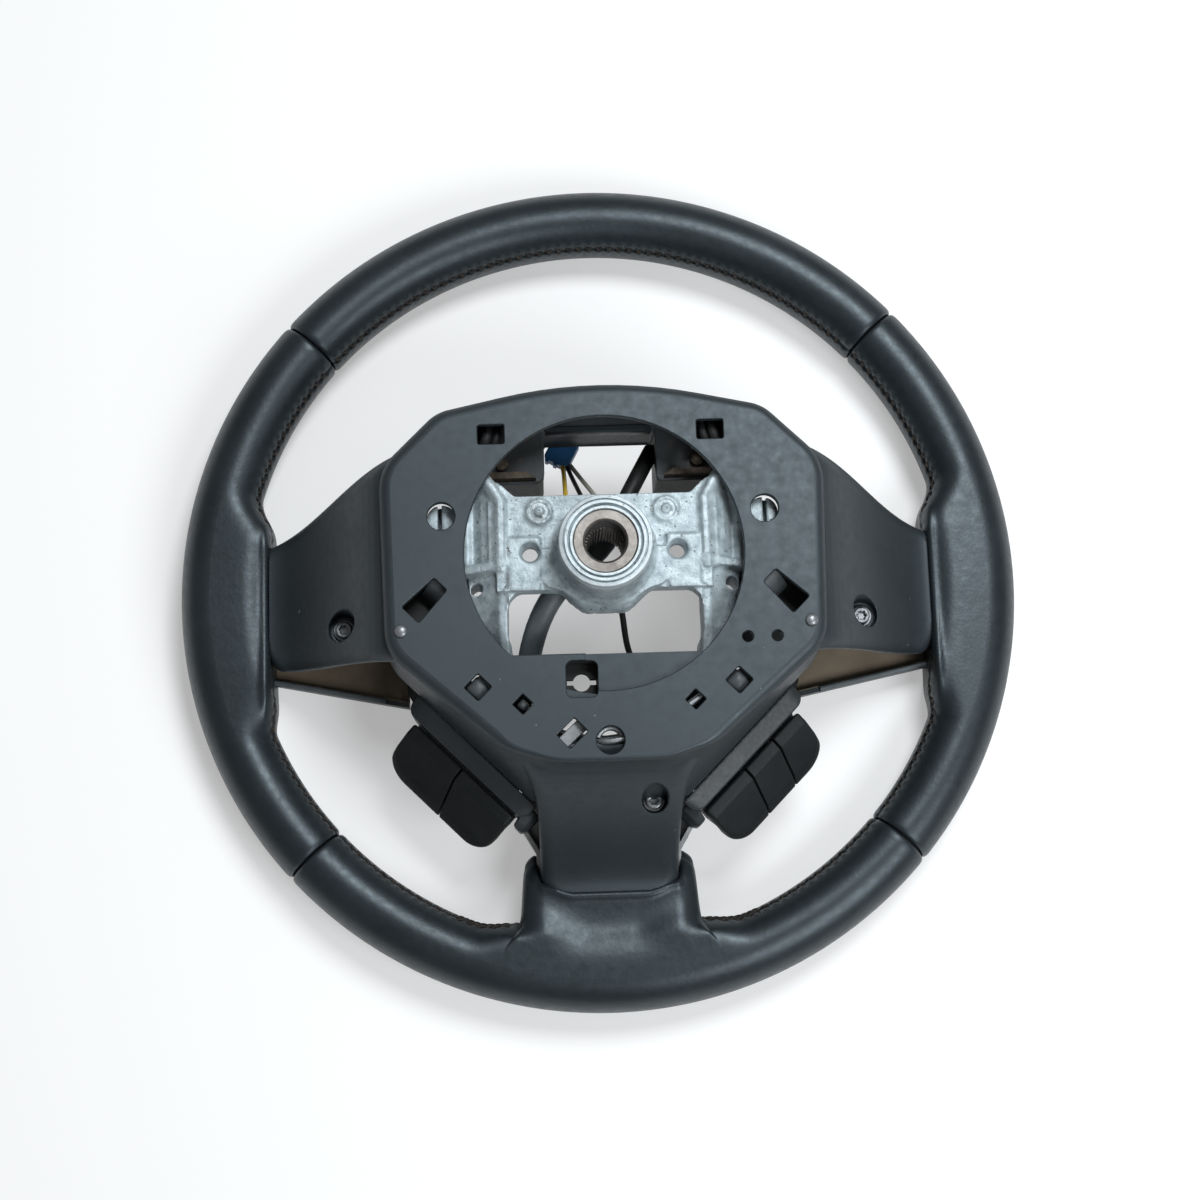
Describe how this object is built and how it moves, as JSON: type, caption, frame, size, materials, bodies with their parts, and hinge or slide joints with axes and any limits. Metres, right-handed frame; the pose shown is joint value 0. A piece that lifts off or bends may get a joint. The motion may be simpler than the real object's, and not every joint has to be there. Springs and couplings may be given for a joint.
{
  "type": "steering wheel",
  "caption": "Leather-wrapped three-spoke car steering wheel without its airbag module, with a die-cast hub, splined bush, rear cover and sprung switch pod buttons.",
  "frame": {"origin": "centre of the rim, on the surface that the rim's front side rests on", "axes": "+Z along the steering axis to the column side, +Y to twelve o'clock, +X to the right in a view from the column side"},
  "size_m": [0.375, 0.375, 0.124],
  "materials": {
    "leather": "smooth black leather",
    "foam": "moulded foam",
    "steel": "plain steel",
    "bush": "machined",
    "casting": "as cast",
    "cover": "fine mould texture",
    "trim": "satin",
    "garnish": "silver paint",
    "dark": "matte",
    "housing": "satin",
    "button": "soft matte",
    "board": "solder mask",
    "dome_rubber": "matte",
    "sleeve": "satin",
    "connector": "satin",
    "yellow": "satin",
    "white": "satin",
    "black": "satin"
  },
  "bodies": {
    "wheel": {"rim_core": "steel", "rim_foam": "foam", "leather_top": "leather", "leather_right": "leather", "leather_bottom": "leather", "leather_left": "leather", "armature": "casting", "hub_insert": "bush", "rear_cover": "cover", "lower_trim": "garnish", "front_bezel": "dark", "airbag_surround": "dark", "retainer_spring": "steel", "cover_screw_lower": "steel", "harness_sleeve": "sleeve", "harness_clip": "dark", "airbag_connector": "connector", "lead_yellow": "yellow", "lead_white": "white", "lead_black": "black", "right_pod_lead": "black", "hub_rivet_left": "casting", "cover_screw_left": "steel", "cover_pin_left": "steel", "spoke_trim_left": "trim", "bezel_screw_left": "steel", "snap_bracket_left": "dark", "pod_housing_left": "housing", "dome_mat_left": "dome_rubber", "switch_board_left": "board", "pod_screw_left_upper": "steel", "pod_screw_left_lower": "steel", "hub_rivet_right": "casting", "cover_screw_right": "steel", "cover_pin_right": "steel", "spoke_trim_right": "trim", "bezel_screw_right": "steel", "snap_bracket_right": "dark", "pod_housing_right": "housing", "dome_mat_right": "dome_rubber", "switch_board_right": "board", "pod_screw_right_upper": "steel", "pod_screw_right_lower": "steel"},
    "left_upper_button": {"button_left_upper": "button"},
    "left_lower_button": {"button_left_lower": "button"},
    "right_upper_button": {"button_right_upper": "button"},
    "right_middle_button": {"button_right_middle": "button"},
    "right_lower_button": {"button_right_lower": "button"}
  },
  "joints": [
    {"name": "left_upper_press", "type": "slide", "parent": "wheel", "child": "left_upper_button", "axis": [0.5, 0.5, -0.7071], "range_m": [0, 0.0012], "stiffness_N_per_m": 2500, "springref_m": -0.0004},
    {"name": "left_lower_press", "type": "slide", "parent": "wheel", "child": "left_lower_button", "axis": [0.5, 0.5, -0.7071], "range_m": [0, 0.0012], "stiffness_N_per_m": 2500, "springref_m": -0.0004},
    {"name": "right_upper_press", "type": "slide", "parent": "wheel", "child": "right_upper_button", "axis": [-0.5, 0.5, -0.7071], "range_m": [0, 0.0012], "stiffness_N_per_m": 2500, "springref_m": -0.0004},
    {"name": "right_middle_press", "type": "slide", "parent": "wheel", "child": "right_middle_button", "axis": [-0.5, 0.5, -0.7071], "range_m": [0, 0.0012], "stiffness_N_per_m": 2500, "springref_m": -0.0004},
    {"name": "right_lower_press", "type": "slide", "parent": "wheel", "child": "right_lower_button", "axis": [-0.5, 0.5, -0.7071], "range_m": [0, 0.0012], "stiffness_N_per_m": 2500, "springref_m": -0.0004}
  ]
}
